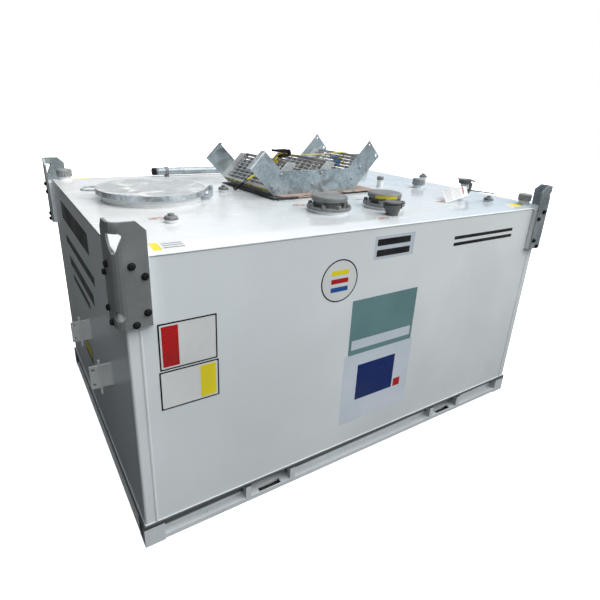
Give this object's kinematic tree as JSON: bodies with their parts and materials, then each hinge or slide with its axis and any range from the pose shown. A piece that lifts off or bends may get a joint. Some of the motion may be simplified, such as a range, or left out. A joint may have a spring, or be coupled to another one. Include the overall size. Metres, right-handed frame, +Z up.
{
  "type": "bunded tank",
  "caption": "Steel fuel tank inside a bund, on a skid with fork pockets and lifting corners, with a hinged manway lid, roof fittings and its stair stowed on top.",
  "frame": {"origin": "on the ground under the middle of the overall length and width", "axes": "+X along the tank towards the end with the level gauge, +Z up, the front face with the sign panels towards -Y"},
  "size_m": [3.2012, 2.2506, 1.9956],
  "materials": {
    "white_paint": "satin white coating with light dirt",
    "bare_steel": "plain mill steel",
    "galvanised_steel": "dull hot-dip zinc",
    "grey_iron": "weathered grey",
    "yellow_webbing": "woven",
    "brown_board": "matt",
    "dark_rubber": "matt"
  },
  "bodies": {
    "tank": {"floor_plate": "white_paint", "skid_rail_front": "white_paint", "skid_rail_back": "white_paint", "skid_end_left": "white_paint", "skid_end_right": "white_paint", "fork_pocket_left": "white_paint", "fork_pocket_right": "white_paint", "left_end_wall": "white_paint", "right_end_wall": "white_paint", "front_wall": "white_paint", "back_wall": "white_paint", "roof_plate": "white_paint", "primary_floor": "bare_steel", "primary_front": "bare_steel", "primary_back": "bare_steel", "primary_left_end": "bare_steel", "primary_right_end": "bare_steel", "primary_roof": "bare_steel", "manway_neck": "white_paint", "hinge_ears": "white_paint", "bracket_pad_front_left": "white_paint", "bracket_pad_front_right": "white_paint", "bracket_pad_back_left": "white_paint", "bracket_pad_back_right": "white_paint", "corner_bracket_front_left": "galvanised_steel", "corner_bracket_front_right": "galvanised_steel", "corner_bracket_back_left": "galvanised_steel", "corner_bracket_back_right": "galvanised_steel", "vent_collar_left": "white_paint", "vent_collar_right": "white_paint", "emergency_vent_left": "grey_iron", "emergency_vent_right": "grey_iron", "fill_fitting": "grey_iron", "level_gauge": "grey_iron", "socket_plug_1": "grey_iron", "socket_plug_2": "grey_iron", "socket_plug_3": "grey_iron", "socket_plug_4": "grey_iron", "riser_cap_tall": "grey_iron", "riser_cap_middle": "grey_iron", "riser_cap_right": "grey_iron", "riser_cap_left": "grey_iron", "stair_bracket_front": "white_paint", "stair_bracket_back": "white_paint", "stair_stringer_front": "galvanised_steel", "stair_stringer_back": "galvanised_steel", "stair_tread_1": "galvanised_steel", "stair_tread_2": "galvanised_steel", "stair_tread_3": "galvanised_steel", "stair_strap": "yellow_webbing", "strap_ratchet": "grey_iron", "dunnage_mat": "dark_rubber", "dunnage_board": "brown_board", "vent_pipe": "galvanised_steel", "pipe_clamp_left": "grey_iron", "pipe_clamp_right": "grey_iron"},
    "lid": {"manway_lid": "galvanised_steel", "lid_hinge_eye": "galvanised_steel", "lid_handle": "galvanised_steel"}
  },
  "joints": [
    {"name": "manway_lid_hinge", "type": "hinge", "parent": "tank", "child": "lid", "pos_m": [-0.67985, -0.09599, 1.69], "axis": [0.4067, 0.9135, 0], "range_deg": [0, 105]}
  ]
}
